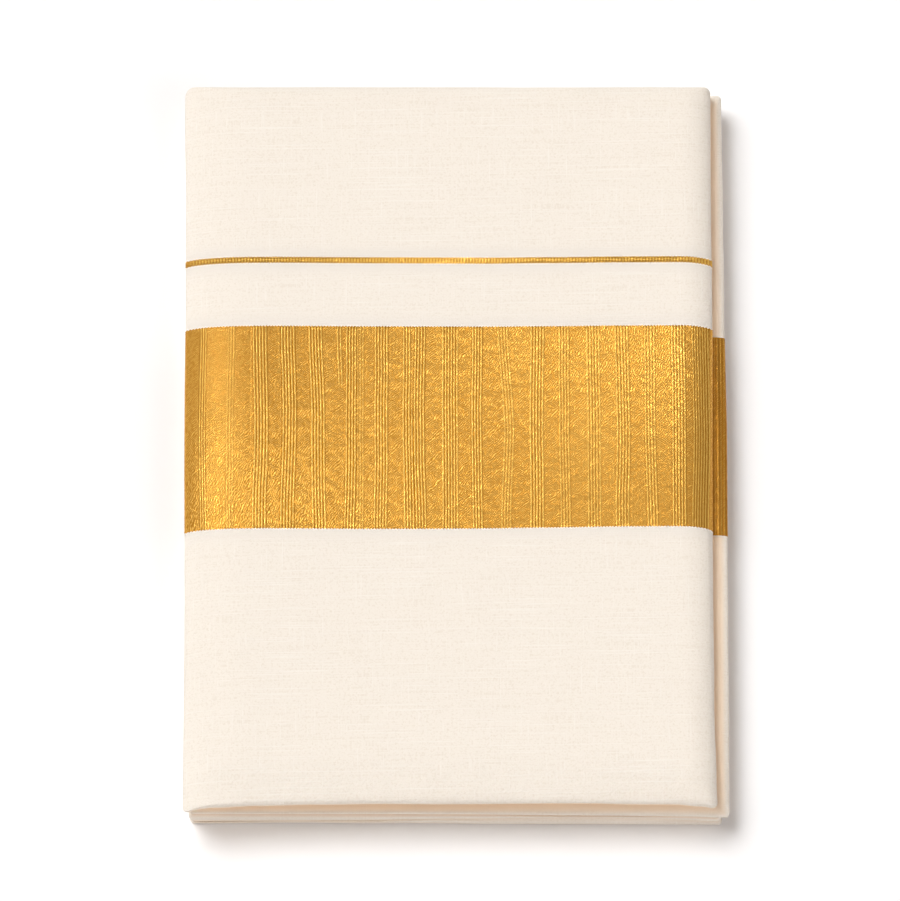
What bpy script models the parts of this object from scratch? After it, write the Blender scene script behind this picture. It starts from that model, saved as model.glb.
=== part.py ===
"""Kasavu saree folded into a flat packet that lies on a table.

Metres, +Z up, the packet's front edge towards -Y and the origin under its middle.
Four leaves lie on each other. The cloth that shows on each leaf is a thin wall,
wrapped round one rounded solid of hidden layers whose edges are stepped like the leaves.
"""

import math
from collections import namedtuple

import bmesh
import bpy
from mathutils import Vector

MM = 0.001

# The packet, from a saree 6.3 m long and 1.12 m wide folded in 16 and in 4
TOP_DEPTH = 396.2 * MM
SPREAD = 279.8 * MM
LOWER_STEP = 3.0 * MM
SEAM_GAP = 0.3 * MM

BACK = (TOP_DEPTH + LOWER_STEP) / 2
TOP_FRONT = BACK - TOP_DEPTH
LEFT = -SPREAD / 2
RIGHT = SPREAD / 2

# Woven lines of the cloth's end piece, measured forward from the back edge
LINE_START = 97.3 * MM
LINE_WIDTH = 3.4 * MM
BAND_START = 135.8 * MM
BAND_WIDTH = 112.2 * MM

# How far a leaf's cloth turns in under the leaf above it
TUCK = 18.0 * MM
# How far in from the top leaf's edges the hidden layers stand upright between two leaves
WAIST_INSET = 24.0 * MM

Sides = namedtuple("Sides", "left right front back")
Corners = namedtuple("Corners", "front_left front_right back_left back_right")
Face = namedtuple("Face", "at_left at_right")
Leaf = namedtuple(
    "Leaf",
    "left right front wall above rise below corners upper lower swell",
)
Edge = namedtuple("Edge", "distance x")
Swell = namedtuple("Swell", "x forward sag")
Station = namedtuple("Station", "fx fy dx dy")

# Heights of the faces where the leaves meet, at the packet's left and right edges
TOP_FACE = Face(31.0, 31.0)
TOP_SECOND = Face(17.0, 17.0)
SECOND_THIRD = Face(11.8, 10.6)
THIRD_BOTTOM = Face(4.5, 6.6)
UNDERSIDE = Face(0.0, 0.0)

# Where a leaf's left or right edge lies, by the distance forward of the back edge
TOP_LEFT = (
    Edge(0.0, LEFT / MM),
    Edge(20.0, LEFT / MM),
    Edge(64.0, -138.9),
    Edge(120.0, -138.5),
    Edge(190.0, -138.9),
    Edge(290.0, -138.6),
    Edge(399.0, -138.8),
)
TOP_RIGHT = (
    Edge(0.0, 132.0),
    Edge(60.0, 132.1),
    Edge(130.0, 132.5),
    Edge(250.0, 132.6),
    Edge(345.0, 132.8),
    Edge(386.0, 133.6),
    Edge(399.0, 133.8),
)
SECOND_LEFT = (Edge(0.0, -136.9), Edge(180.0, -136.3), Edge(399.0, -136.6))
SECOND_RIGHT = (
    Edge(0.0, 137.7),
    Edge(64.0, 138.3),
    Edge(120.0, 138.8),
    Edge(205.0, 139.7),
    Edge(290.0, RIGHT / MM),
    Edge(399.0, 139.8),
)
THIRD_LEFT = (Edge(0.0, -136.4), Edge(220.0, -135.9), Edge(399.0, -136.2))
THIRD_RIGHT = (Edge(0.0, 135.4), Edge(200.0, 136.1), Edge(399.0, 136.2))
BOTTOM_LEFT = (Edge(0.0, -136.0), Edge(160.0, -136.3), Edge(399.0, -135.6))
BOTTOM_RIGHT = (Edge(0.0, 135.0), Edge(240.0, 135.3), Edge(399.0, 135.8))

# Along a leaf's front edge: place, how far it swells forward, how far its roll sags
TOP_SWELL = (
    Swell(-139.0, 2.4, 3.6),
    Swell(-129.0, 1.5, 2.8),
    Swell(-106.0, 0.9, 1.6),
    Swell(-75.0, 0.4, 0.8),
    Swell(-40.0, 0.1, 0.3),
    Swell(10.0, 0.1, 0.3),
    Swell(65.0, -0.2, 0.0),
    Swell(115.0, 0.1, 0.4),
    Swell(126.0, 1.2, 3.0),
    Swell(133.0, 2.4, 3.6),
)
SECOND_SWELL = (
    Swell(-137.0, 0.2, 0.0),
    Swell(-60.0, -0.2, 0.0),
    Swell(20.0, 0.0, 0.2),
    Swell(90.0, 0.3, 0.5),
    Swell(139.0, 0.0, 0.3),
)
THIRD_SWELL = (
    Swell(-137.0, -0.4, 0.0),
    Swell(-80.0, -0.1, 0.0),
    Swell(0.0, -0.4, 0.2),
    Swell(70.0, -0.8, 0.2),
    Swell(136.0, -1.1, 0.0),
)
BOTTOM_SWELL = (
    Swell(-136.0, -0.2, 0.0),
    Swell(-80.0, -0.5, 0.0),
    Swell(-28.0, -0.1, 0.0),
    Swell(12.0, -0.4, 0.0),
    Swell(95.0, 0.0, 0.0),
    Swell(136.0, -0.2, 0.0),
)

# Leaf sizes in millimetres. Above and below give how far in from each edge its roll starts,
# and rise gives which share of the leaf's thickness lies above the roll's widest line.
TOP = Leaf(
    left=TOP_LEFT,
    right=TOP_RIGHT,
    front=TOP_FRONT / MM,
    wall=1.2,
    above=Sides(34.5, 16.5, 9.0, 8.0),
    rise=Sides(0.64, 0.47, 0.48, 0.43),
    below=Sides(5.0, 5.0, 6.0, 6.0),
    corners=Corners(3.0, 2.8, 4.2, 2.8),
    upper=TOP_FACE,
    lower=TOP_SECOND,
    swell=TOP_SWELL,
)
SECOND = Leaf(
    left=SECOND_LEFT,
    right=SECOND_RIGHT,
    front=TOP_FRONT / MM - 2.1,
    wall=1.0,
    above=Sides(4.0, 5.0, 5.0, 4.0),
    rise=Sides(0.5, 0.5, 0.5, 0.5),
    below=Sides(3.0, 3.0, 3.0, 3.0),
    corners=Corners(3.0, 2.6, 3.0, 2.2),
    upper=TOP_SECOND,
    lower=SECOND_THIRD,
    swell=SECOND_SWELL,
)
THIRD = Leaf(
    left=THIRD_LEFT,
    right=THIRD_RIGHT,
    front=TOP_FRONT / MM - LOWER_STEP / MM,
    wall=1.0,
    above=Sides(3.0, 2.5, 2.5, 3.0),
    rise=Sides(0.5, 0.5, 0.5, 0.5),
    below=Sides(3.0, 2.5, 2.5, 3.0),
    corners=Corners(3.5, 2.6, 3.0, 2.4),
    upper=SECOND_THIRD,
    lower=THIRD_BOTTOM,
    swell=THIRD_SWELL,
)
BOTTOM = Leaf(
    left=BOTTOM_LEFT,
    right=BOTTOM_RIGHT,
    front=TOP_FRONT / MM - LOWER_STEP / MM,
    wall=1.0,
    above=Sides(3.0, 3.0, 2.6, 3.0),
    rise=Sides(0.5, 0.5, 0.5, 0.5),
    below=Sides(3.2, 3.2, 2.6, 3.2),
    corners=Corners(6.5, 3.2, 3.4, 2.6),
    upper=THIRD_BOTTOM,
    lower=UNDERSIDE,
    swell=BOTTOM_SWELL,
)

# Steps round a leaf's edge and over its roll
FRONT_STEPS = 20
SIDE_STEPS = 12
CORNER_STEPS = 4
TOP_ROLL_ABOVE = (90, 68, 48, 30, 14, 0)
TOP_ROLL_BELOW = (-30, -60, -90)
LEAF_ROLL_ABOVE = (90, 45, 0)
LEAF_ROLL_BELOW = (-45, -90)
SMOOTH_ANGLE = math.radians(42)

COTTON_COLOUR = (0.83, 0.757, 0.655, 1.0)
COTTON_ROUGHNESS = 0.85
ZARI_COLOUR = (0.62, 0.33, 0.055, 1.0)
ZARI_ROUGHNESS = 0.42
ZARI_METALLIC = 0.7


def lerp(start, end, fraction):
    return start + (end - start) * fraction


def perimeter():
    """Stations round the packet, anticlockwise from its front left corner.

    fx and fy say how far across and back a station is, dx and dy which way its edge faces.
    """
    stations = []
    sides = (
        (FRONT_STEPS, (0, 0), (1, 0), -90),
        (SIDE_STEPS, (1, 0), (1, 1), 0),
        (FRONT_STEPS, (1, 1), (0, 1), 90),
        (SIDE_STEPS, (0, 1), (0, 0), 180),
    )
    for steps, start, end, heading in sides:
        normal = (math.cos(math.radians(heading)), math.sin(math.radians(heading)))
        for step in range(1, steps):
            # Closer together towards the corners, where the edge turns most
            fraction = 0.5 - 0.5 * math.cos(math.pi * step / steps)
            across = lerp(start[0], end[0], fraction)
            along = lerp(start[1], end[1], fraction)
            stations.append(Station(across, along, *normal))
        for step in range(CORNER_STEPS + 1):
            turn = math.radians(heading + 90 * step / CORNER_STEPS)
            stations.append(Station(end[0], end[1], math.cos(turn), math.sin(turn)))
    return stations


STATIONS = perimeter()


def side_value(values, station):
    """A value given for each side, as it is at this station."""
    across = values.left if station.dx < 0 else values.right
    along = values.front if station.dy < 0 else values.back
    return across * station.dx**2 + along * station.dy**2


def corner_radius(corners, fx, fy):
    front = lerp(corners.front_left, corners.front_right, fx)
    back = lerp(corners.back_left, corners.back_right, fx)
    return lerp(front, back, fy)


def read_table(rows, place):
    """The row at a place in a table, eased from one row to the next."""
    if place <= rows[0][0]:
        return rows[0]
    for first, second in zip(rows, rows[1:]):
        if place <= second[0]:
            share = (place - first[0]) / (second[0] - first[0])
            ease = 0.5 - 0.5 * math.cos(math.pi * share)
            return type(first)(*(lerp(a, b, ease) for a, b in zip(first, second)))
    return rows[-1]


def face_height(face, x):
    return lerp(face.at_left, face.at_right, (x * MM - LEFT) / SPREAD)


def upper_height(leaf, x):
    gap = 0.0 if leaf.upper is TOP_FACE else SEAM_GAP / MM / 2
    return face_height(leaf.upper, x) - gap


def lower_height(leaf, x):
    gap = 0.0 if leaf.lower is UNDERSIDE else SEAM_GAP / MM / 2
    return face_height(leaf.lower, x) + gap


def plan_point(leaf, inset, station):
    """Where a station lies in plan on the leaf's outline moved in by inset on each side."""
    fx, fy, dx, dy = station
    radius = corner_radius(leaf.corners, fx, fy)
    distance = (BACK / MM - leaf.front) * (1 - fy)
    left = read_table(leaf.left, distance).x
    right = read_table(leaf.right, distance).x
    x_low = left + inset.left + corner_radius(leaf.corners, 0, fy)
    x_high = right - inset.right - corner_radius(leaf.corners, 1, fy)
    x = lerp(x_low, x_high, fx) + radius * dx
    front = leaf.front - read_table(leaf.swell, x).forward
    y_low = front + inset.front + corner_radius(leaf.corners, fx, 0)
    y_high = BACK / MM - inset.back - corner_radius(leaf.corners, fx, 1)
    return x, lerp(y_low, y_high, fy) + radius * dy


def roll_ring(leaf, depth, angle):
    """One ring of a leaf's rolled edge, depth millimetres under the cloth's outer skin."""
    cosine = math.cos(math.radians(angle))
    sine = math.sin(math.radians(angle))
    plan = leaf.above if angle > 0 else leaf.below
    inset = Sides(*(size - (size - depth) * cosine for size in plan))
    ring = []
    for station in STATIONS:
        x, y = plan_point(leaf, inset, station)
        sag = read_table(leaf.swell, x).sag
        front_share = station.dy**2 if station.dy < 0 else 0.0
        upper = upper_height(leaf, x)
        thickness = upper - lower_height(leaf, x)
        rise = side_value(leaf.rise, station) * thickness + sag * front_share
        fall = thickness - rise
        reach = rise if angle > 0 else fall
        ring.append(Vector((x, y, upper - rise + (reach - depth) * sine)) * MM)
    return ring


def inner_ring(leaf, depth, is_upper, outline, inset):
    """A ring on a leaf's upper or lower face, inside the outline of that or another leaf."""
    moved_in = Sides(inset, inset, inset, inset)
    ring = []
    for station in STATIONS:
        x, y = plan_point(outline, moved_in, station)
        z = upper_height(leaf, x) - depth if is_upper else lower_height(leaf, x) + depth
        ring.append(Vector((x, y, z)) * MM)
    return ring


def roll_rings(leaf, depth):
    """The rings of a leaf's rolled edge from its upper face down to its lower face."""
    if leaf is TOP:
        angles = TOP_ROLL_ABOVE + TOP_ROLL_BELOW
    else:
        angles = LEAF_ROLL_ABOVE + LEAF_ROLL_BELOW
    return [roll_ring(leaf, depth, angle) for angle in angles]


def loft(rings, is_loop):
    """A closed body through the rings: a tube bent into a ring, or one with two end caps."""
    body = bmesh.new()
    rows = [[body.verts.new(point) for point in ring] for ring in rings]
    pairs = list(zip(rows, rows[1:]))
    if is_loop:
        pairs.append((rows[-1], rows[0]))
    count = len(STATIONS)
    for row, following in pairs:
        for index in range(count):
            beside = (index + 1) % count
            body.faces.new((row[index], row[beside], following[beside], following[index]))
    if not is_loop:
        body.faces.new(rows[0])
        body.faces.new(rows[-1])
    bmesh.ops.recalc_face_normals(body, faces=body.faces)
    return body


def top_cover():
    """The top leaf's cloth: over its face, round all four edges and in under them."""
    tuck = TUCK / MM
    skins = []
    for depth in (0.0, TOP.wall):
        below = [inner_ring(TOP, depth, False, TOP, tuck)]
        skins.append(roll_rings(TOP, depth) + below)
    outer, inner = skins
    return loft(outer + inner[::-1], is_loop=False)


def edge_wrap(leaf):
    """A middle leaf's cloth: a wall round its edges, tucked in above and below."""
    tuck = TUCK / MM
    skins = []
    for depth in (0.0, leaf.wall):
        above = [inner_ring(leaf, depth, True, leaf, tuck)]
        below = [inner_ring(leaf, depth, False, leaf, tuck)]
        skins.append(above + roll_rings(leaf, depth) + below)
    outer, inner = skins
    return loft(outer + inner[::-1], is_loop=True)


def bottom_cover():
    """The bottom leaf's cloth: a flat underside turned up round all four edges."""
    tuck = TUCK / MM
    skins = []
    for depth in (0.0, BOTTOM.wall):
        above = [inner_ring(BOTTOM, depth, True, BOTTOM, tuck)]
        skins.append((above + roll_rings(BOTTOM, depth))[::-1])
    outer, inner = skins
    return loft(outer + inner[::-1], is_loop=False)


def hidden_layers():
    """The layers inside the packet as one solid, with an edge like each leaf's."""
    waist = WAIST_INSET / MM
    rings = []
    for leaf in (BOTTOM, THIRD, SECOND, TOP):
        depth = leaf.wall + SEAM_GAP / MM
        if leaf is not BOTTOM:
            rings.append(inner_ring(leaf, depth, False, TOP, waist))
        rings.extend(roll_rings(leaf, depth)[::-1])
        if leaf is not TOP:
            rings.append(inner_ring(leaf, depth, True, TOP, waist))
    return loft(rings, is_loop=False)


def keep_stretch(body, start, end):
    """Cuts a body to the stretch from start to end, distances forward of the back edge.

    None stands for the leaf's own edge, where nothing is cut.
    """
    for distance, outward in ((start, 1), (end, -1)):
        if distance is None:
            continue
        y = BACK - distance - outward * SEAM_GAP / 2
        bmesh.ops.bisect_plane(
            body,
            geom=body.verts[:] + body.edges[:] + body.faces[:],
            plane_co=(0, y, 0),
            plane_no=(0, outward, 0),
            clear_outer=True,
        )
        rim = [edge for edge in body.edges if edge.is_boundary]
        bmesh.ops.holes_fill(body, edges=rim, sides=0)
    bmesh.ops.recalc_face_normals(body, faces=body.faces)
    return body


def keep_side(body, sign):
    """Keeps the part of a stretch at the packet's right (1) or left (-1)."""
    others = [vert for vert in body.verts if vert.co.x * sign < 0]
    bmesh.ops.delete(body, geom=others, context="VERTS")
    return body


def add_material(name, colour, roughness, metallic):
    material = bpy.data.materials.new(name)
    material.use_nodes = True
    surface = material.node_tree.nodes["Principled BSDF"]
    surface.inputs["Base Color"].default_value = colour
    surface.inputs["Roughness"].default_value = roughness
    surface.inputs["Metallic"].default_value = metallic
    material.diffuse_color = colour
    return material


def add_cloth(name, body, material, packet):
    """Turns a body into an object that stands at its own middle, under the packet's empty."""
    lows = [min(vert.co[axis] for vert in body.verts) for axis in range(3)]
    highs = [max(vert.co[axis] for vert in body.verts) for axis in range(3)]
    base = Vector(((lows[0] + highs[0]) / 2, (lows[1] + highs[1]) / 2, lows[2]))
    bmesh.ops.translate(body, verts=body.verts, vec=-base)
    mesh = bpy.data.meshes.new(name)
    body.to_mesh(mesh)
    body.free()
    mesh.materials.append(material)
    mesh.shade_smooth()
    mesh.set_sharp_from_angle(angle=SMOOTH_ANGLE)
    cloth = bpy.data.objects.new(name, mesh)
    cloth.location = base
    cloth.parent = packet
    bpy.context.scene.collection.objects.link(cloth)


def clear_scene():
    for leftover in list(bpy.data.objects):
        bpy.data.objects.remove(leftover, do_unlink=True)


def main():
    clear_scene()
    packet = bpy.data.objects.new("folded_saree", None)
    bpy.context.scene.collection.objects.link(packet)
    cotton = add_material("cotton", COTTON_COLOUR, COTTON_ROUGHNESS, 0.0)
    zari = add_material("zari", ZARI_COLOUR, ZARI_ROUGHNESS, ZARI_METALLIC)

    line_end = LINE_START + LINE_WIDTH
    band_end = BAND_START + BAND_WIDTH

    add_cloth("hidden_layers", hidden_layers(), cotton, packet)
    add_cloth("bottom_leaf", bottom_cover(), cotton, packet)
    add_cloth("third_leaf", edge_wrap(THIRD), cotton, packet)

    second_back = keep_stretch(edge_wrap(SECOND), None, BAND_START)
    add_cloth("second_leaf_plain_back", second_back, cotton, packet)
    for name, sign in (("right", 1), ("left", -1)):
        band = keep_stretch(edge_wrap(SECOND), BAND_START, band_end)
        add_cloth(f"second_leaf_band_{name}", keep_side(band, sign), zari, packet)
    second_front = keep_stretch(edge_wrap(SECOND), band_end, None)
    add_cloth("second_leaf_plain_front", second_front, cotton, packet)

    top_stretches = (
        ("top_leaf_plain_back", None, LINE_START, cotton),
        ("top_leaf_thin_line", LINE_START, line_end, zari),
        ("top_leaf_plain_between", line_end, BAND_START, cotton),
        ("top_leaf_band", BAND_START, band_end, zari),
        ("top_leaf_plain_front", band_end, None, cotton),
    )
    for name, start, end, material in top_stretches:
        add_cloth(name, keep_stretch(top_cover(), start, end), material, packet)


main()
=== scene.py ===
"""Looks of a kasavu saree folded into a flat packet that lies on a pale table.

Every leaf of the packet is a thin shell of cloth on the form of its solid, with its creases
and plies. The woven gold lies on it in sheets of its own, whose ribs are real relief.
Leaf sizes and tables are in millimetres, meshes and lights in metres.
"""

import math
from collections import namedtuple

import bpy
import numpy as np
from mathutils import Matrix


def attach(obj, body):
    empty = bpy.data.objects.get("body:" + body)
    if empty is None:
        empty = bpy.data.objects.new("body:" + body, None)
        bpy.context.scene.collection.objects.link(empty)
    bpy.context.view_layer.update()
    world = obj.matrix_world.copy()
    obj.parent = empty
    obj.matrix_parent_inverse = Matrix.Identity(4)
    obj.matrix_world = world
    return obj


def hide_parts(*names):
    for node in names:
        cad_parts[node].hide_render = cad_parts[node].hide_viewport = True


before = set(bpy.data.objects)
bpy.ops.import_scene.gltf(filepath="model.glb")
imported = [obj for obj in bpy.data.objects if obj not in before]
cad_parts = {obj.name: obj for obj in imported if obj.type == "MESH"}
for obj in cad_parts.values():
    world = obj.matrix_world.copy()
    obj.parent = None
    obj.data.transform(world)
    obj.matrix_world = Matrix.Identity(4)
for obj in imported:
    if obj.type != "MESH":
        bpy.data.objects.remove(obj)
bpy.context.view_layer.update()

MM = 0.001

# The packet
TOP_DEPTH = 396.2
SPREAD = 279.8
LOWER_STEP = 3.0
BACK = (TOP_DEPTH + LOWER_STEP) / 2
TOP_FRONT = BACK - TOP_DEPTH
TOP_HEIGHT = 31.0
LEFT = -SPREAD / 2
RIGHT = SPREAD / 2

# The thickness of a leaf's shell, the gap between two leaves, how far their cloth is tucked
# in, how deep it wrinkles, and how much of the inset a corner's arc gains
CLOTH = 0.4
SEAM_GAP = 0.3
TUCK = 18.0
WRINKLE_ON_TOP = 0.09
WRINKLE_BELOW = 0.1
CORNER_SOFTNESS = 0.8
# How deep the hidden folds lie under the leaves' skins, and how far in between two leaves
FOLDS_DEPTH = 1.5
FOLDS_WAIST = 24.0

# Woven lines of the cloth's end piece, measured forward from the back edge
LINE_START = 97.3
LINE_WIDTH = 3.4
BAND_START = 135.8
BAND_WIDTH = 112.2

Sides = namedtuple("Sides", "left right front back")
Corners = namedtuple("Corners", "front_left front_right back_left back_right")
Level = namedtuple("Level", "x z")
Leaf = namedtuple(
    "Leaf",
    "left right front above below corners upper lower swell front_roll creases "
    "rise under tint gloom",
    defaults=(Sides(0.5, 0.5, 0.5, 0.5), Sides(1.0, 1.0, 1.0, 1.0), 1.0, 0.0),
)
Edge = namedtuple("Edge", "distance x")
Swell = namedtuple("Swell", "x forward sag")
Roll = namedtuple("Roll", "x above below rise")
Crease = namedtuple("Crease", "side start end level lean width depth")
Stations = namedtuple("Stations", "fx fy dx dy")
Group = namedtuple(
    "Group", "back middle front ribs pitch strength start end", defaults=(0.0, 1.0)
)
Drift = namedtuple("Drift", "x forward")


def table(kind, *rows):
    """Rows of a table whose columns have names."""
    return tuple(kind(*row) for row in rows)


# The height of the packet's faces and of each seam between two leaves, by place across
TOP_FACE = table(Level, (LEFT, TOP_HEIGHT), (RIGHT, TOP_HEIGHT))
TOP_SECOND = table(Level, (LEFT, 17.0), (RIGHT, 17.0))
SECOND_THIRD = table(Level, (LEFT, 13.4), (0.0, 12.9), (75.0, 12.1), (RIGHT, 11.6))
THIRD_BOTTOM = table(
    Level,
    (LEFT, 2.6),
    (-60.0, 3.4),
    (0.0, 7.0),
    (70.0, 10.4),
    (96.0, 9.2),
    (RIGHT, 4.6),
)
UNDERSIDE = table(Level, (LEFT, 0.0), (RIGHT, 0.0))

# Where a leaf's left or right edge lies, by the distance forward of the back edge
TOP_LEFT = table(
    Edge,
    (0.0, LEFT),
    (20.0, LEFT),
    (64.0, -139.2),
    (130.0, -139.0),
    (190.0, -139.2),
    (290.0, -138.8),
    (399.0, -139.0),
)
TOP_RIGHT = table(
    Edge,
    (0.0, 132.0),
    (60.0, 132.1),
    (130.0, 132.4),
    (250.0, 131.9),
    (345.0, 132.3),
    (386.0, 133.2),
    (399.0, 133.6),
)
SECOND_LEFT = table(Edge, (0.0, -136.9), (180.0, -136.3), (399.0, -136.6))
SECOND_RIGHT = table(
    Edge,
    (0.0, 137.7),
    (64.0, 138.3),
    (120.0, 138.8),
    (205.0, 139.7),
    (290.0, RIGHT),
    (399.0, 139.8),
)
THIRD_LEFT = table(Edge, (0.0, -136.4), (220.0, -135.9), (399.0, -136.2))
THIRD_RIGHT = table(Edge, (0.0, 135.4), (200.0, 136.1), (399.0, 136.0))
BOTTOM_LEFT = table(Edge, (0.0, -136.0), (160.0, -136.3), (399.0, -135.6))
BOTTOM_RIGHT = table(Edge, (0.0, 135.0), (240.0, 135.3), (399.0, 136.1))

# Along a leaf's front edge: place, how far it swells forward, how far its roll sags
TOP_SWELL = table(
    Swell,
    (-139.6, 5.2, 0.8),
    (-136.8, 4.8, 0.8),
    (-133.0, 3.6, 0.7),
    (-130.0, 2.9, 0.6),
    (-123.8, 2.3, 0.5),
    (-100.7, 1.3, 0.4),
    (-69.8, 0.5, 0.4),
    (-39.0, 0.2, 0.4),
    (10.0, 0.3, 0.3),
    (65.0, 0.1, 0.0),
    (112.0, 0.2, 0.3),
    (125.0, 1.0, 1.4),
    (133.0, 2.0, 1.8),
)
SECOND_SWELL = table(
    Swell,
    (-137.0, 0.0, 0.0),
    (-60.0, 0.0, 0.0),
    (20.0, 0.1, 0.2),
    (90.0, 0.3, 0.3),
    (118.0, 0.4, 0.8),
    (139.0, 0.9, 1.4),
)
THIRD_SWELL = table(
    Swell,
    (-137.0, -1.1, 0.0),
    (-80.0, -0.9, 0.0),
    (0.0, -0.6, 0.0),
    (70.0, -0.3, 0.0),
    (110.0, -0.3, 0.4),
    (136.0, -0.3, 1.6),
)
BOTTOM_SWELL = table(
    Swell,
    (-136.0, -0.9, 0.0),
    (-80.0, -1.1, 0.0),
    (-28.0, -0.6, 0.0),
    (12.0, -0.2, 0.0),
    (95.0, -0.1, 0.0),
    (136.0, -0.2, 0.0),
)

# A leaf's above, rise and below say how far in its roll starts above, the share of its height
# that lies above its widest line, and how far in the roll ends below. under shapes that lower
# turn: 1 is round, more slants in at once, less stays upright and then turns in. tint and gloom
# say how much of the creases' painted warm bounce light and of their painted shade a lower
# leaf's rolls take.

# Along a leaf's front edge: how far in its roll starts above and below, and its share above
TOP_FRONT_ROLL = table(
    Roll,
    (-139.0, 4.4, 7.0, 0.12),
    (-60.0, 5.2, 7.0, 0.15),
    (20.0, 6.4, 7.0, 0.19),
    (80.0, 7.6, 7.0, 0.21),
    (133.0, 9.0, 7.0, 0.22),
)
SECOND_FRONT_ROLL = table(
    Roll,
    (-137.0, 5.0, 1.2, 0.44),
    (0.0, 5.0, 1.2, 0.46),
    (60.0, 6.0, 1.0, 0.72),
    (139.0, 6.0, 1.0, 0.78),
)
THIRD_FRONT_ROLL = table(
    Roll,
    (-137.0, 1.6, 0.6, 0.55),
    (0.0, 1.6, 1.2, 0.5),
    (60.0, 0.9, 0.8, 0.5),
    (139.0, 1.6, 1.0, 0.6),
)
BOTTOM_FRONT_ROLL = table(
    Roll,
    (-136.0, 0.3, 1.4, 0.5),
    (-60.0, 0.6, 1.4, 0.4),
    (0.0, 1.8, 1.6, 0.34),
    (60.0, 4.0, 1.6, 0.72),
    (136.0, 3.0, 1.6, 0.7),
)

# Soft creases in the rolled edges. Side, the stretch along it, the level round the roll in
# degrees, how far that climbs along the stretch, its width in degrees and its depth.
TOP_CREASES = table(
    Crease,
    ("front", -118.0, -62.0, 38.0, 14.0, 7.0, 0.07),
    ("front", -30.0, 38.0, 30.0, 10.0, 7.0, 0.06),
    ("front", 52.0, 112.0, 44.0, -16.0, 7.0, 0.07),
    ("front", -10.0, 88.0, -18.0, 8.0, 8.0, 0.5),
    ("back", -125.0, -40.0, 30.0, 12.0, 7.0, 0.25),
    ("back", 10.0, 118.0, 12.0, -14.0, 8.0, 0.4),
    ("left", -170.0, -40.0, 10.0, 8.0, 6.0, 0.5),
    ("left", 20.0, 180.0, -14.0, 12.0, 7.0, 0.6),
    ("right", -180.0, -20.0, 14.0, 9.0, 6.0, 0.4),
    ("right", 40.0, 178.0, -8.0, 12.0, 7.0, 0.5),
)
SECOND_CREASES = table(
    Crease,
    ("front", -120.0, -20.0, 38.0, 6.0, 9.0, 0.16),
    ("right", -196.0, 190.0, 62.0, 4.0, 8.0, 0.22),
    ("right", -150.0, 120.0, 4.0, 8.0, 10.0, 0.35),
    ("left", -190.0, 60.0, 6.0, 9.0, 10.0, 0.4),
    ("back", -120.0, 130.0, 8.0, -8.0, 10.0, 0.35),
)
THIRD_CREASES = table(
    Crease,
    ("front", -132.0, -60.0, 4.0, 10.0, 10.0, 0.18),
    ("right", -190.0, 40.0, -6.0, 12.0, 10.0, 0.3),
    ("left", -120.0, 190.0, 4.0, -8.0, 10.0, 0.35),
    ("back", -130.0, 60.0, -4.0, 6.0, 10.0, 0.3),
)
BOTTOM_CREASES = table(
    Crease,
    ("right", -60.0, 190.0, 6.0, 10.0, 10.0, 0.25),
    ("left", -190.0, 120.0, -4.0, 8.0, 10.0, 0.3),
    ("back", -60.0, 132.0, 6.0, -8.0, 10.0, 0.3),
)

TOP = Leaf(
    left=TOP_LEFT,
    right=TOP_RIGHT,
    front=TOP_FRONT - 1.2,
    above=Sides(34.5, 16.5, 9.0, 8.0),
    rise=Sides(0.60, 0.54, 0.24, 0.43),
    below=Sides(3.5, 1.8, 7.0, 5.0),
    under=Sides(0.5, 0.35, 2.0, 1.0),
    corners=Corners(4.4, 3.6, 4.2, 2.8),
    upper=TOP_FACE,
    lower=TOP_SECOND,
    swell=TOP_SWELL,
    front_roll=TOP_FRONT_ROLL,
    creases=TOP_CREASES,
)
SECOND = Leaf(
    left=SECOND_LEFT,
    right=SECOND_RIGHT,
    front=TOP_FRONT - 2.1,
    above=Sides(4.0, 5.0, 5.0, 4.0),
    below=Sides(3.0, 3.0, 3.0, 3.0),
    corners=Corners(2.0, 1.8, 3.0, 2.2),
    upper=TOP_SECOND,
    lower=SECOND_THIRD,
    swell=SECOND_SWELL,
    front_roll=SECOND_FRONT_ROLL,
    creases=SECOND_CREASES,
)
THIRD = Leaf(
    left=THIRD_LEFT,
    right=THIRD_RIGHT,
    front=TOP_FRONT - LOWER_STEP,
    above=Sides(3.0, 2.5, 2.5, 3.0),
    below=Sides(3.0, 2.5, 2.5, 3.0),
    corners=Corners(1.6, 2.6, 3.0, 2.4),
    upper=SECOND_THIRD,
    lower=THIRD_BOTTOM,
    swell=THIRD_SWELL,
    front_roll=THIRD_FRONT_ROLL,
    creases=THIRD_CREASES,
    tint=0.7,
    gloom=0.65,
)
BOTTOM = Leaf(
    left=BOTTOM_LEFT,
    right=BOTTOM_RIGHT,
    front=TOP_FRONT - LOWER_STEP,
    above=Sides(3.0, 3.0, 2.6, 3.0),
    below=Sides(3.2, 1.6, 2.6, 3.2),
    corners=Corners(2.0, 1.6, 3.4, 2.6),
    upper=THIRD_BOTTOM,
    lower=UNDERSIDE,
    swell=BOTTOM_SWELL,
    front_roll=BOTTOM_FRONT_ROLL,
    creases=BOTTOM_CREASES,
    tint=0.4,
    gloom=0.12,
)

# The weft isn't quite straight: how far the woven lines drift forward, by place across
WEFT_DRIFT = table(
    Drift,
    (-139.0, 0.0),
    (-95.0, -0.1),
    (-40.0, 0.2),
    (15.0, 0.3),
    (50.0, 0.0),
    (85.0, -0.4),
    (118.0, -0.5),
    (133.0, -0.2),
)
# The band narrows a little towards the right
BAND_NARROWING = table(Drift, (-60.0, 0.0), (110.0, 0.75))

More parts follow.
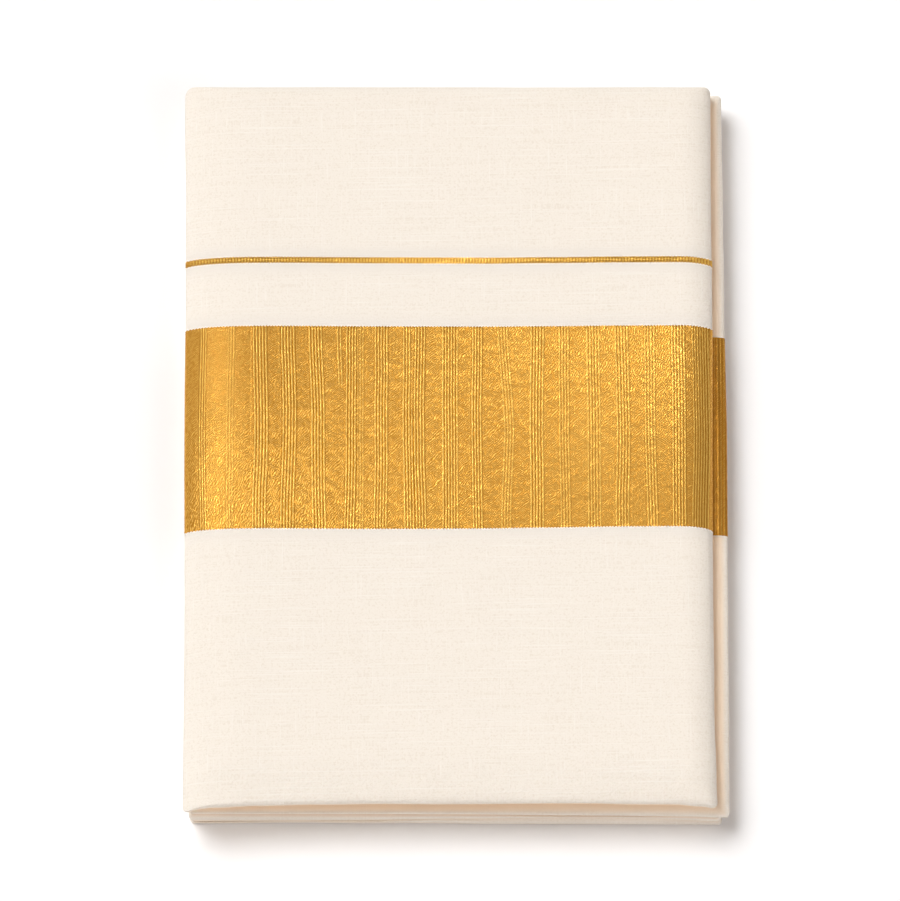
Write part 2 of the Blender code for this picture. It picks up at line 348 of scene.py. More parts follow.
# Groups of raised warp ribs in the gold band: their place across at its back edge, in its
# middle and at its front edge, number of ribs, pitch, height share, and the stretch they fill
RIB_GROUPS = table(
    Group,
    (-129.7, -130.4, -129.4, 3.4, 1.24, 1.0),
    (-115.4, -116.0, -115.8, 3.0, 1.42, 0.45),
    (-100.8, -99.9, -100.8, 5.2, 1.56, 1.0),
    (-86.2, -85.3, -86.4, 5.4, 1.54, 1.0),
    (-72.1, -70.5, -70.0, 5.0, 1.53, 1.0),
    (-59.9, -58.6, -58.4, 2.0, 1.45, 0.8, 0.0, 0.3),
    (-53.6, -53.8, -54.4, 4.0, 1.48, 1.1),
    (-48.8, -48.9, -48.9, 3.0, 1.38, 0.45),
    (-38.1, -38.2, -38.6, 5.0, 1.47, 1.0),
    (-25.1, -25.2, -24.5, 2.8, 1.48, 1.0),
    (-22.0, -22.4, -21.5, 1.0, 1.5, 0.9, 0.4, 1.0),
    (-18.2, -18.8, -17.6, 4.2, 1.5, 1.0),
    (-2.8, -2.8, -2.5, 5.6, 1.46, 1.0),
    (11.3, 10.8, 11.5, 4.2, 1.45, 1.0),
    (24.5, 27.6, 26.0, 3.8, 1.46, 0.6),
    (42.2, 41.7, 42.0, 4.6, 1.53, 0.9),
    (55.7, 55.9, 56.7, 4.2, 1.48, 0.65),
    (70.6, 71.2, 71.4, 4.6, 1.5, 0.7),
    (85.3, 86.3, 85.5, 4.8, 1.52, 0.8),
    (99.9, 100.2, 101.2, 4.4, 1.53, 0.65),
    (114.6, 115.1, 114.9, 5.2, 1.53, 0.9),
    (125.9, 126.6, 125.6, 7.0, 1.29, 0.9),
)
RIB_PITCH = 1.57
RIB_HEIGHT = 0.13
FAINT_RIBS = 0.16
LINE_RIB_HEIGHT = 0.08
# Share of painted shade between the thin line's ribs
LINE_VALLEY_SHADE = 0.45
SIDE_RIB_HEIGHT = 0.12
SIDE_RIBS = 0.5
# Share of painted shade on the second leaf's band, between its ribs and on them
SIDE_VALLEY_SHADE = 0.8
SIDE_CREST_SHADE = 0.2
# How much later the second leaf's band starts than the top leaf's, and how much sooner it ends
SIDE_BAND_LATER = 0.4
SIDE_BAND_SHORTER = 1.8
# The tooth of the gold's edge at each rib, how high the gold lies on the cotton, how much more
# where it turns down, and how far its first and last rows sink in
TOOTH = 0.24
GOLD_LIFT = 0.06
TURNED_LIFT = 0.16
EDGE_SINK = 0.12
# Rows of a gold sheet's mesh beside its woven edge, in millimetres inward. Those outside it
# are the pale lip of cotton that the gold's last pick presses up.
EDGE_ROWS = (-0.62, -0.52, -0.10, 0.06)
EDGE_LIP = (1.0, 1.0, 1.0, 0.0)
# How deep and how far out the plain cloth dips beside the gold, and how far out the shade of
# that dip is painted on it
PUCKER_DEPTH = 0.12
PUCKER_REACH = 3.0
TROUGH_SHADE_REACH = 5.0
# In from each edge of the top: where the face's own relief starts, and over how far it grows
FACE_FROM = Sides(20.0, 16.0, 7.0, 7.0)
FACE_GROWTH = Sides(30.0, 20.0, 14.0, 14.0)
# How much the turn at each edge pulls the weave askew, from how far in, and where in full
STRAIN = Sides(0.7, 0.7, 1.0, 0.5)
STRAIN_FROM = Sides(30.0, 28.0, 34.0, 24.0)
STRAIN_TO = Sides(8.0, 10.0, 8.0, 6.0)

# Round a lower leaf's roll, in degrees either way from its widest line: where the painted warm
# bounce light of the creases starts and where it is full, and its greatest and its least share
TUCK_SHADE_FROM = Sides(45.0, 35.0, 8.0, 45.0)
TUCK_SHADE_TO = Sides(95.0, 85.0, 60.0, 95.0)
TUCK_SHADE_DEPTH = Sides(0.6, 1.0, 0.95, 0.6)
TUCK_SHADE_LEAST = Sides(0.0, 0.0, 0.05, 0.0)
# Where the painted shade of the crease above a lower leaf starts on its roll, and where it is full
GLOOM_FROM = 5.0
GLOOM_TO = 62.0
# Where the painted warm bounce light of the creases starts on the top leaf's roll, above its
# widest line, and is full, below it
TOP_SHADE_FROM = 8.0
TOP_SHADE_TO = -35.0

# Mesh steps
TOP_STEPS = (190, 210)
LEAF_STEPS = (260, 300)
FOLDS_STEPS = (40, 50)
CORNER_STEPS = 10
TOP_ANGLES_ABOVE = 22
TOP_ANGLES_BELOW = 9
LEAF_ANGLES_ABOVE = 12
LEAF_ANGLES_BELOW = 10
FACE_RINGS = 4
FACE_RING_STEP = 1.6
# How soon the corners of those rings sharpen to the corner of the face's grid
FACE_RING_EASE = 1.5
BAND_COLUMNS = 1040
BAND_ROWS = 84
LINE_COLUMNS = 1040
LINE_ROWS = 9
SIDE_BAND_COLUMNS = 150
SIDE_BAND_ROWS = 200


def lerp(start, end, fraction):
    return start + (end - start) * fraction


def smooth_step(low, high, place):
    share = np.clip((place - low) / (high - low), 0.0, 1.0)
    return share * share * (3 - 2 * share)


def bump(place, middle, width):
    """A soft hump of height 1 round the middle."""
    return np.exp(-(((place - middle) / width) ** 2))


def smooth_noise(u, v, cell_u, cell_v, seed):
    """Soft noise from -1 to 1 over a grid of cells of that size, the same in each run."""
    heights = np.random.default_rng(seed).uniform(-1.0, 1.0, (64, 64))
    u = np.asarray(u) / cell_u + 32.5
    v = np.asarray(v) / cell_v + 32.5
    column = np.floor(u).astype(int)
    row = np.floor(v).astype(int)
    share_u = u - column
    share_v = v - row
    share_u = share_u * share_u * (3 - 2 * share_u)
    share_v = share_v * share_v * (3 - 2 * share_v)
    near = lerp(heights[row % 64, column % 64], heights[row % 64, (column + 1) % 64], share_u)
    far_row = (row + 1) % 64
    far = lerp(heights[far_row, column % 64], heights[far_row, (column + 1) % 64], share_u)
    return lerp(near, far, share_v)


def eased(rows, place, column):
    """A column of a table at each place, eased from one row to the next."""
    places = np.array([row[0] for row in rows])
    values = np.array([getattr(row, column) for row in rows])
    index = np.clip(np.searchsorted(places, place) - 1, 0, len(rows) - 2)
    share = (place - places[index]) / (places[index + 1] - places[index])
    ease = 0.5 - 0.5 * np.cos(np.pi * np.clip(share, 0.0, 1.0))
    return lerp(values[index], values[index + 1], ease)


# The form of a leaf


def perimeter(front_steps, side_steps):
    """Stations round the packet, anticlockwise from its front left corner.

    fx and fy say how far across and back a station is, dx and dy which way its edge faces.
    """
    rows = []
    sides = (
        (front_steps, (0, 0), (1, 0), -90),
        (side_steps, (1, 0), (1, 1), 0),
        (front_steps, (1, 1), (0, 1), 90),
        (side_steps, (0, 1), (0, 0), 180),
    )
    for steps, start, end, heading in sides:
        facing = math.radians(heading)
        for step in range(1, steps):
            fraction = step / steps
            across = lerp(start[0], end[0], fraction)
            along = lerp(start[1], end[1], fraction)
            rows.append((across, along, math.cos(facing), math.sin(facing)))
        for step in range(CORNER_STEPS + 1):
            turn = facing + math.pi / 2 * step / CORNER_STEPS
            rows.append((end[0], end[1], math.cos(turn), math.sin(turn)))
    return Stations(*np.array(rows).T)


def corner_radius(corners, fx, fy):
    front = lerp(corners.front_left, corners.front_right, fx)
    back = lerp(corners.back_left, corners.back_right, fx)
    return lerp(front, back, fy)


def upper_height(leaf, x):
    gap = 0.0 if leaf.upper is TOP_FACE else SEAM_GAP / 2
    return eased(leaf.upper, x, "z") - gap


def lower_height(leaf, x):
    gap = 0.0 if leaf.lower is UNDERSIDE else SEAM_GAP / 2
    return eased(leaf.lower, x, "z") + gap


def plan_point(leaf, inset, stations, rounding=1.0):
    """Where stations lie in plan on the leaf's outline moved in by inset on each side.

    A corner's arc grows with the inset, so the rolls of two sides run softly into each other.
    """
    fx, fy, dx, dy = stations
    distance = (BACK - leaf.front) * (1 - fy)
    left_arc = rounding * (corner_radius(leaf.corners, 0, fy) + CORNER_SOFTNESS * inset.left)
    right_arc = rounding * (corner_radius(leaf.corners, 1, fy) + CORNER_SOFTNESS * inset.right)
    x_low = eased(leaf.left, distance, "x") + inset.left + left_arc
    x_high = eased(leaf.right, distance, "x") - inset.right - right_arc
    x = lerp(x_low, x_high, fx) + lerp(left_arc, right_arc, fx) * dx
    front = leaf.front - eased(leaf.swell, x, "forward")
    front_arc = rounding * (corner_radius(leaf.corners, fx, 0) + CORNER_SOFTNESS * inset.front)
    back_arc = rounding * (corner_radius(leaf.corners, fx, 1) + CORNER_SOFTNESS * inset.back)
    y_low = front + inset.front + front_arc
    y_high = BACK - inset.back - back_arc
    return x, lerp(y_low, y_high, fy) + lerp(front_arc, back_arc, fy) * dy


def side_shares(stations):
    """How much of each side there is in the way that a station faces."""
    across = stations.dx**2
    along = stations.dy**2
    return Sides(
        left=across * (stations.dx < 0),
        right=across * (stations.dx >= 0),
        front=along * (stations.dy < 0),
        back=along * (stations.dy >= 0),
    )


def side_mix(values, stations):
    """A value given for each side, as it is at each station."""
    shares = side_shares(stations)
    return sum(value * share for value, share in zip(values, shares))


def crease_depth(leaf, stations, x, y, angle):
    """How deep the leaf's creases cut into its rolled edge."""
    depth = np.zeros_like(x)
    shares = side_shares(stations)
    for index, crease in enumerate(leaf.creases):
        along = x if crease.side in ("front", "back") else y
        middle = (crease.start + crease.end) / 2
        half = (crease.end - crease.start) / 2
        climb = crease.lean * (along - middle) / half
        wander = 3.0 * smooth_noise(along, index * 50.0, 26.0, 50.0, 11)
        level = crease.level + climb + wander
        ends = 1 - smooth_step(0.55 * half, half, np.abs(along - middle))
        cut = np.exp(-(((angle - level) / crease.width) ** 2))
        depth += crease.depth * ends * cut * getattr(shares, crease.side)
    return depth


def roll_insets(sizes, powers, cosine, depth):
    """How far in from each side's outline a roll is, where its angle has that cosine."""
    level = max(cosine, 0.0)
    turned = [size - (size - depth) * level**power for size, power in zip(sizes, powers)]
    return Sides(*turned)


def roll_ring(leaf, depth, angle, stations, is_creased=True, is_gold=False):
    """One ring of a leaf's rolled edge, depth millimetres under the cloth's outer skin."""
    cosine = math.cos(math.radians(angle))
    sine = math.sin(math.radians(angle))
    sizes = leaf.above if angle > 0 else leaf.below
    flat_x = lerp(leaf.left[-1].x, leaf.right[-1].x, stations.fx)
    front_size = eased(leaf.front_roll, flat_x, "above" if angle > 0 else "below")
    sizes = sizes._replace(front=front_size)
    powers = leaf.under if angle < 0 else (1.0,) * 4
    inset = roll_insets(sizes, powers, cosine, depth)
    x, y = plan_point(leaf, inset, stations)
    if is_creased:
        depth = depth + crease_depth(leaf, stations, x, y, angle)
        depth = depth + edge_wrinkles(leaf, stations, x, y, angle)
        if leaf is TOP and not is_gold:
            depth = depth - pucker(x, y) * max(sine, 0.0) ** 0.5
        inset = roll_insets(sizes, powers, cosine, depth)
        x, y = plan_point(leaf, inset, stations)
    sag = eased(leaf.swell, x, "sag") * side_shares(stations).front
    upper = upper_height(leaf, x)
    thickness = upper - lower_height(leaf, x)
    rises = leaf.rise._replace(front=eased(leaf.front_roll, flat_x, "rise"))
    rise = side_mix(rises, stations) * thickness + sag
    reach = rise if angle > 0 else thickness - rise
    z = upper - rise + (reach - depth) * sine
    return np.stack([x, y, z], axis=1)


def edge_wrinkles(leaf, stations, x, y, angle):
    """Small uneven wrinkles of the cloth where it turns over an edge."""
    along = np.where(np.abs(stations.dx) > np.abs(stations.dy), y, x)
    turned = math.cos(math.radians(angle))
    size = WRINKLE_ON_TOP if leaf is TOP else WRINKLE_BELOW
    broad = smooth_noise(along + 0.4 * angle, angle, 19.0, 34.0, 3)
    fine = smooth_noise(along - 0.25 * angle, angle, 6.5, 26.0, 5)
    return size * turned * (0.7 * broad + 0.3 * fine)


def inner_ring(leaf, depth, is_upper, inset, stations):
    """A ring on a leaf's upper or lower face, inside its own outline."""
    x, y = plan_point(leaf, Sides(inset, inset, inset, inset), stations)
    z = upper_height(leaf, x) - depth if is_upper else lower_height(leaf, x) + depth
    return np.stack([x, y, z], axis=1)


def face_relief(x, y):
    """Slow swells and faint creases of the top face, in millimetres up."""
    swells = 0.16 * smooth_noise(x, y, 74.0, 96.0, 21) + 0.05 * smooth_noise(x, y, 21.0, 40.0, 22)
    ripples = 0.03 * smooth_noise(x + 0.5 * y, y, 9.0, 24.0, 23)
    return swells + ripples


def line_start(x):
    return LINE_START + eased(WEFT_DRIFT, x, "forward")


def line_end(x):
    return line_start(x) + LINE_WIDTH


def band_start(x):
    return BAND_START + eased(WEFT_DRIFT, x, "forward")


def band_end(x):
    return band_start(x) + BAND_WIDTH - eased(BAND_NARROWING, x, "forward")


def beyond_gold(x, y):
    """How far a place lies outside each edge of the two woven lines, as four arrays."""
    distance = BACK - y
    return (
        line_start(x) - distance,
        distance - line_end(x),
        band_start(x) - distance,
        distance - band_end(x),
    )


def pucker(x, y):
    """How the plain cloth dips beside the stiffer gold, in millimetres up."""
    dip = np.zeros_like(x)
    for away in beyond_gold(x, y):
        dip -= PUCKER_DEPTH * bump(away, PUCKER_REACH, PUCKER_REACH) * (away > 0)
    return dip


def beside_gold(x, y):
    """The share of painted shade beside the gold: 1 at it, fading to 0 on the plain cloth."""
    return sum(bump(away, 0.0, TROUGH_SHADE_REACH) * (away > -1.0) for away in beyond_gold(x, y))


def edge_distances(x, y):
    """How far a place lies in from each edge of the packet's top."""
    return Sides(x - LEFT, RIGHT - x, y - TOP_FRONT, BACK - y)


def edge_strain(x, y):
    """Where the top leaf's weave is pulled askew by its turns: 1 at them, 0 on its middle."""
    pulls = zip(STRAIN, STRAIN_FROM, STRAIN_TO, edge_distances(x, y))
    return np.maximum.reduce([share * smooth_step(*span) for share, *span in pulls])


def top_face_height(x, y):
    """Height of the top leaf's flat face, whose relief fades out where the rolls start."""
    sides = zip(edge_distances(x, y), FACE_FROM, FACE_GROWTH)
    inside = np.minimum.reduce([(distance - start) / growth for distance, start, growth in sides])
    return TOP_HEIGHT + face_relief(x, y) * smooth_step(0.0, 1.0, inside)


# Meshes from rings and grids


def make_mesh(name, points, faces, uvs, attributes=()):
    """A smooth-shaded mesh object from points in millimetres, with the cloth's own UV map."""
    mesh = bpy.data.meshes.new(name)
    mesh.from_pydata((points * MM).tolist(), [], faces)
    corners = np.empty(len(mesh.loops), dtype=np.int32)
    mesh.loops.foreach_get("vertex_index", corners)
    layer = mesh.uv_layers.new(name="cloth")
    layer.data.foreach_set("uv", (uvs[corners] * MM).astype(np.float32).ravel())
    for label, values in attributes:
        field = mesh.attributes.new(label, "FLOAT", "POINT")
        field.data.foreach_set("value", values.astype(np.float32))
    mesh.shade_smooth()
    mesh.validate()
    piece = bpy.data.objects.new(name, mesh)
    bpy.context.scene.collection.objects.link(piece)
    return piece


def ring_uvs(rings, stations, anchor):
    """Cloth coordinates for a run of rings, measured outward along the cloth from the anchor."""
    dx, dy = stations.dx, stations.dy
    away = np.array([ring[:, 0] * dx + ring[:, 1] * dy for ring in rings])
    beside = np.array([ring[:, 1] * dx - ring[:, 0] * dy for ring in rings])
    heights = np.array([ring[:, 2] for ring in rings])
    steps = np.hypot(np.diff(away, axis=0), np.diff(heights, axis=0))
    travel = np.concatenate([np.zeros((1, len(dx))), np.cumsum(steps, axis=0)])
    out = away[anchor] + travel - travel[anchor]
    return list(np.stack([out * dx - beside * dy, out * dy + beside * dx], axis=2))


def join_rings(first, second, count):
    """Faces between two rings, given the index of each ring's first point."""
    faces = []
    for index in range(count):
        beside = (index + 1) % count
        faces.append((first + index, first + beside, second + beside, second + index))
    return faces


def roll_angles(above, below):
    """Angles round a roll from its top to its underside, closer together where it turns."""
    over = [90 * math.cos(math.pi / 2 * step / above) for step in range(above + 1)]
    under = [-90 * math.sin(math.pi / 2 * step / below) for step in range(1, below + 1)]
    return over + under


def roll_rings(leaf, depth, stations, angles, is_creased=True):
    return [roll_ring(leaf, depth, angle, stations, is_creased) for angle in angles]


def wrapped_shell(name, leaf, stations, has_upper, has_lower):
    """A middle leaf's cloth, or the bottom leaf's, as a closed shell round its edges."""
    angles = roll_angles(LEAF_ANGLES_ABOVE, LEAF_ANGLES_BELOW)
    skins = []
    for depth, levels in ((0.0, angles), (CLOTH, (90, 45, 0, -45, -90))):
        rings = roll_rings(leaf, depth, stations, levels, depth == 0.0)
        if has_upper:
            rings.insert(0, inner_ring(leaf, depth, True, TUCK, stations))
        if has_lower:
            rings.append(inner_ring(leaf, depth, False, TUCK, stations))
        skins.append(rings)
    outer, inner = skins
    anchor = len(outer) // 2
    uvs = ring_uvs(outer, stations, anchor) + ring_uvs(inner, stations, 3)[::-1]
    rings = outer + inner[::-1]
    count = len(stations.fx)
    # Painted warm bounce light of the creases, by the angle round each roll
    shade_from = side_mix(TUCK_SHADE_FROM, stations)
    shade_to = side_mix(TUCK_SHADE_TO, stations)
    least = leaf.tint * side_mix(TUCK_SHADE_LEAST, stations)
    most = leaf.tint * side_mix(TUCK_SHADE_DEPTH, stations)
    turned = [lerp(least, most, smooth_step(shade_from, shade_to, abs(angle))) for angle in angles]
    full = [most]
    crease_bounce_paint = np.concatenate(full * has_upper + turned + full * (has_lower + len(inner)))
    # Painted shade of the crease above a lower leaf, growing towards the leaf over it
    crease_shade_paint = [leaf.gloom * smooth_step(GLOOM_FROM, GLOOM_TO, angle) for angle in angles]
    crease_shade_paint = [leaf.gloom] * has_upper + crease_shade_paint + [0.0] * (has_lower + len(inner))
    faces = []
    for index in range(len(rings) - 1):
        is_cap = not has_lower and index == len(outer) - 1
        if not is_cap:
            faces += join_rings(index * count, (index + 1) * count, count)
    faces += join_rings((len(rings) - 1) * count, 0, count)
    if not has_lower:
        last = (len(outer) - 1) * count
        faces.append(tuple(range(last, last + count)))
        faces.append(tuple(range(last + 2 * count - 1, last + count - 1, -1)))
    marks = (("crease_bounce_paint", crease_bounce_paint), ("crease_shade_paint", np.repeat(crease_shade_paint, count)))
    return make_mesh(name, np.concatenate(rings), faces, np.concatenate(uvs), marks)


def grid_index(across, along, columns):
    return along * (columns + 1) + across


def grid_rim(front_steps, side_steps):
    """For each station, the point of the face's grid that it meets."""
    rim = []
    corners = ((front_steps, 0), (front_steps, side_steps), (0, side_steps), (0, 0))
    starts = ((0, 0), corners[0], corners[1], corners[2])
    for steps, start, end in zip((front_steps, side_steps) * 2, starts, corners):
        for step in range(1, steps):
            across = start[0] + (end[0] - start[0]) * step // steps
            along = start[1] + (end[1] - start[1]) * step // steps
            rim.append(grid_index(across, along, front_steps))
        rim += [grid_index(end[0], end[1], front_steps)] * (CORNER_STEPS + 1)
    return rim


def face_grid(leaf, inset, front_steps, side_steps):
    """Points of the leaf's flat face, in rows from front to back."""
    fx, fy = np.meshgrid(
        np.linspace(0, 1, front_steps + 1), np.linspace(0, 1, side_steps + 1)
    )
    flat = Stations(fx.ravel(), fy.ravel(), np.zeros(fx.size), np.zeros(fx.size))
    x, y = plan_point(leaf, inset, flat, rounding=0.0)
    return np.stack([x, y, top_face_height(x, y) + pucker(x, y)], axis=1)


def top_cloth(stations):
    """The top leaf's plain cloth, over its face, round all four edges and in under them."""
    front_steps, side_steps = TOP_STEPS
    moved = [FACE_RING_STEP * step for step in range(1, FACE_RINGS + 1)]
    inset = Sides(*(size + moved[-1] for size in TOP.above))
    grid = face_grid(TOP, inset, front_steps, side_steps)
    face_rings = []
    for step in moved[-2::-1]:
        size = Sides(*(value + step for value in TOP.above))
        rounding = (1 - step / moved[-1]) ** FACE_RING_EASE
        x, y = plan_point(TOP, size, stations, rounding)
        face_rings.append(np.stack([x, y, top_face_height(x, y) + pucker(x, y)], axis=1))
    angles = roll_angles(TOP_ANGLES_ABOVE, TOP_ANGLES_BELOW)
    outer = roll_rings(TOP, 0.0, stations, angles)
    outer = face_rings + outer + [inner_ring(TOP, 0.0, False, TUCK, stations)]
    # Painted warm bounce light of the creases round the top leaf's roll, under its widest line
    turned = [smooth_step(-TOP_SHADE_FROM, -TOP_SHADE_TO, -angle) for angle in angles]
    inner = roll_rings(TOP, CLOTH, stations, (90, 60, 30, 0, -45, -90), False)
    inner.append(inner_ring(TOP, CLOTH, False, TUCK, stations))
    rolled = outer[len(face_rings) :]
    uvs = [grid[:, :2]] + [ring[:, :2] for ring in face_rings]
    uvs += ring_uvs(rolled, stations, 0) + ring_uvs(inner, stations, 0)[::-1]
    rings = outer + inner[::-1]
    count = len(stations.fx)
    offset = len(grid)

    faces = []
    for along in range(side_steps):
        for across in range(front_steps):
            corner = grid_index(across, along, front_steps)
            above = corner + front_steps + 1
            faces.append((corner, corner + 1, above + 1, above))
    rim = grid_rim(front_steps, side_steps)
    for index in range(count):
        beside = (index + 1) % count
        face = (offset + index, offset + beside, rim[beside], rim[index])
        faces.append(face if rim[beside] != rim[index] else face[:3])
    for index in range(len(rings) - 1):
        start = offset + index * count
        faces += join_rings(start + count, start, count)
    last = offset + (len(rings) - 1) * count
    faces.append(tuple(range(last + count - 1, last - 1, -1)))
    points = np.concatenate([grid] + rings)
    turned = [0.0] * len(face_rings) + turned + [1.0] * (len(inner) + 1)
    crease_bounce_paint = np.concatenate([np.zeros(offset), np.repeat(turned, count)])
    marks = (
        ("crease_bounce_paint", crease_bounce_paint),
        # Painted shade of the dip beside the gold
        ("trough_shade_paint", beside_gold(points[:, 0], points[:, 1])),
        ("strained", edge_strain(points[:, 0], points[:, 1])),
    )
    return make_mesh("top_cloth", points, faces, np.concatenate(uvs), marks)


def hidden_folds(stations):
    """The layers inside the packet, with an edge stepped like the leaves."""
    rings = []
    for leaf in (BOTTOM, THIRD, SECOND, TOP):
        if leaf is not BOTTOM:
            rings.append(inner_ring(leaf, FOLDS_DEPTH, False, FOLDS_WAIST, stations))
        rings += roll_rings(leaf, FOLDS_DEPTH, stations, (-90, -45, 0, 45, 90), False)
        if leaf is not TOP:
            rings.append(inner_ring(leaf, FOLDS_DEPTH, True, FOLDS_WAIST, stations))
    count = len(stations.fx)
    faces = []
    for index in range(len(rings) - 1):
        faces += join_rings(index * count, (index + 1) * count, count)
    last = (len(rings) - 1) * count
    faces.append(tuple(range(count - 1, -1, -1)))
    faces.append(tuple(range(last, last + count)))
    points = np.concatenate(rings)
    uvs = np.concatenate(ring_uvs(rings, stations, 0))
    # The hidden layers carry the painted warm bounce light of the creases all over
    return make_mesh("hidden_folds", points, faces, uvs, (("crease_bounce_paint", np.ones(len(points))),))


# Woven gold

# Finer steps round a roll than the cloth's own, for the gold that follows it
SECTION_ANGLES = roll_angles(36, 18)


def side_section(leaf, ys, side):
    """The leaf's outer skin over one side's edge at each y: x and z from its face to its tuck."""
    fx, dx = (0.0, -1.0) if side == "left" else (1.0, 1.0)
    zeros = np.zeros_like(ys)
    at = Stations(zeros + fx, (ys - leaf.front) / (BACK - leaf.front), zeros + dx, zeros)
    points = [roll_ring(leaf, 0.0, angle, at, is_gold=True)[:, [0, 2]] for angle in SECTION_ANGLES]
    x_end = points[-1][:, 0] - dx * (TUCK - getattr(leaf.below, side))
    points.append(np.stack([x_end, lower_height(leaf, x_end)], axis=1))
    x_start = points[0][:, 0] - dx * (TUCK - getattr(leaf.above, side))
    start = np.stack([x_start, points[0][:, 1]], axis=1)
    return np.stack(points, axis=1), start[:, None]


def spaced(points, count):
    """Points evenly spaced along a line through points."""
    steps = np.linalg.norm(np.diff(points, axis=0), axis=1)
    travel = np.concatenate([[0.0], np.cumsum(steps)])
    places = np.linspace(0.0, travel[-1], count)
    return np.stack([np.interp(places, travel, points[:, axis]) for axis in (0, 1)], axis=1)


def sheet_rows(leaf, ys, columns, side=None):
    """Rows of points over the leaf's skin at each y, over its whole width or one side's edge."""
    left, left_start = side_section(leaf, ys, "left")
    right, right_start = side_section(leaf, ys, "right")
    if side == "right":
        lines = np.concatenate([right_start, right], axis=1)
    elif side == "left":
        lines = np.concatenate([left[:, ::-1], left_start], axis=1)
    else:
        lines = np.concatenate([left[:, ::-1], right], axis=1)
    return np.array([spaced(line, columns) for line in lines])


def surface_normals(grid):
    """Normals of a grid of points whose rows run from back to front."""
    across = np.gradient(grid, axis=1)
    along = np.gradient(grid, axis=0)
    normals = np.cross(along, across)
    return normals / np.linalg.norm(normals, axis=2, keepdims=True)


def rib_wave(place, pitch=RIB_PITCH):
    """The cross-section of raised ribs: rounded crests between narrow hollows."""
    wave = 0.5 + 0.5 * np.cos(2 * np.pi * place / pitch)
    return wave**0.8


def rib_relief(u, v):
    """Heights of the band's ribs, and the share of painted shade in the hollows between them,
    at u across and v from back to front, 0 to 1.
    """
    relief = np.zeros_like(u)
    valley_shade = np.zeros_like(u)
    covered = np.zeros_like(u)
    depth = v * BAND_WIDTH
    for index, group in enumerate(RIB_GROUPS):
        middle = lerp(group.back, group.middle, smooth_step(0.0, 0.5, v))
        middle = middle + (group.front - group.middle) * smooth_step(0.5, 1.0, v)
        middle = middle + 0.22 * smooth_noise(depth, index * 40.0, 17.0, 40.0, 31)
        half = group.ribs * group.pitch / 2
        ragged = 0.35 * smooth_noise(depth, index * 40.0 + 7.0, 13.0, 40.0, 32)
        across = 1 - smooth_step(half - 0.5, half + 0.7 + ragged, np.abs(u - middle))
        fade = smooth_step(group.start - 0.02, group.start + 0.04, v)
        fade = fade if group.start > 0 else np.ones_like(v)
        if group.end < 1:
            fade = fade * (1 - smooth_step(group.end - 0.04, group.end + 0.02, v))
        share = group.strength * across * fade
        wave = rib_wave(u - middle + 0.5 * group.pitch * (round(group.ribs) % 2 == 0), group.pitch)
        relief = np.maximum(relief, share * wave)
        valley_shade += share * (1 - wave)
        covered = np.maximum(covered, share)
    patchy = 0.5 + 0.5 * smooth_noise(u, depth, 9.0, 46.0, 33)
    faint = FAINT_RIBS * patchy * (1 - np.minimum(covered, 1.0))
    relief += faint * rib_wave(u + 0.5 * smooth_noise(u, depth, 30.0, 30.0, 34))
    beads = 1 + 0.30 * smooth_noise(u, depth, 1.2, 1.5, 35)
    turned_under = smooth_step(LEFT + 5.0, LEFT + 8.0, u)
    return relief * beads * turned_under, np.minimum(valley_shade, 1.0) * turned_under


def gold_sheet(name, grid, relief, valley_shade, lip, height):
    """A woven gold sheet on a leaf's skin: the grid lifted by its thread and its ribs."""
    relief = relief * (1 - lip)
    normals = surface_normals(grid)
    turned = smooth_step(0.95, 0.70, normals[..., 2])
    lift = GOLD_LIFT + TURNED_LIFT * turned + height * relief
    lift[0] = -EDGE_SINK
    lift[-1] = -EDGE_SINK
    points = grid + normals * lift[..., None]
    rows, columns = grid.shape[:2]
    across = np.linalg.norm(np.diff(grid, axis=1), axis=2)
    travel = np.concatenate([np.zeros((rows, 1)), np.cumsum(across, axis=1)], axis=1)
    middle = travel[:, columns // 2 : columns // 2 + 1]
    uvs = np.stack([travel - middle, grid[..., 1]], axis=2)
    faces = []
    for row in range(rows - 1):
        for column in range(columns - 1):
            corner = row * columns + column
            below = corner + columns
            faces.append((corner, below, below + 1, corner + 1))
    marks = (
        ("ribs", relief.ravel()),
        ("valley_shade", (valley_shade * (1 - lip)).ravel()),
        ("lip", lip.ravel()),
    )
    return make_mesh(name, points.reshape(-1, 3), faces, uvs.reshape(-1, 2), marks)


